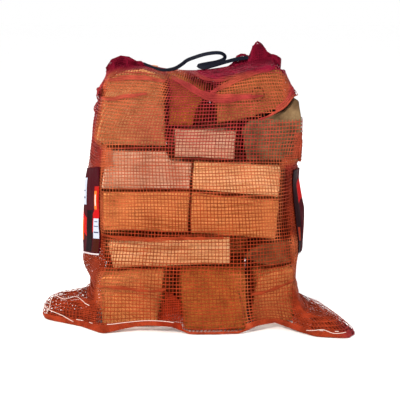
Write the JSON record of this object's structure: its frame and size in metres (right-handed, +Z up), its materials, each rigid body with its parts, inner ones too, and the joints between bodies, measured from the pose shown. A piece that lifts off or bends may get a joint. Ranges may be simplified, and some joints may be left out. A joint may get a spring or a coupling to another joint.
{
  "type": "firewood bundle in a net sack",
  "caption": "Split firewood logs stacked in an upright woven net sack with a gathered mouth, drawstring tape, printed film band on the back and two empty bottom corners.",
  "frame": {"origin": "middle of the footprint's box, on the surface that the sack stands on", "axes": "+X along the sack's width, to the right when its front is seen; +Y from its front to its back; +Z up"},
  "size_m": [0.6578, 0.3104, 0.5958],
  "materials": {
    "net": "red leno-woven polypropylene net, about 7 mm mesh",
    "film": "printed polypropylene film",
    "tape": "black woven tape",
    "wood_orange": "dry split and sawn wood, orange-brown",
    "wood_pale": "dry split and sawn wood, pale cream",
    "wood_pink": "dry split and sawn wood, pinkish",
    "bark": "wood with grey-brown bark"
  },
  "bodies": {
    "root": {"net_sack": "net", "label_band": "film", "drawstring": "tape", "log_row1_left": "wood_orange", "log_row1_middle": "wood_orange", "log_row1_right": "wood_orange", "log_row2_middle": "wood_pink", "log_row2_right": "bark", "log_row3_left": "wood_pink", "log_row3_right": "wood_pale", "log_row4_left": "wood_orange", "log_row4_right": "wood_orange", "log_row5_left": "wood_pale", "log_row5_right": "bark", "log_row6_left": "wood_orange", "log_row6_middle": "wood_orange", "log_row6_right": "wood_orange", "log_back_row2": "wood_pale", "log_back_row3_left": "wood_orange", "log_back_row3_right": "wood_pink", "log_back_row4_left": "wood_pale", "log_back_row4_right": "wood_orange", "log_back_row5": "wood_orange"}
  },
  "joints": []
}
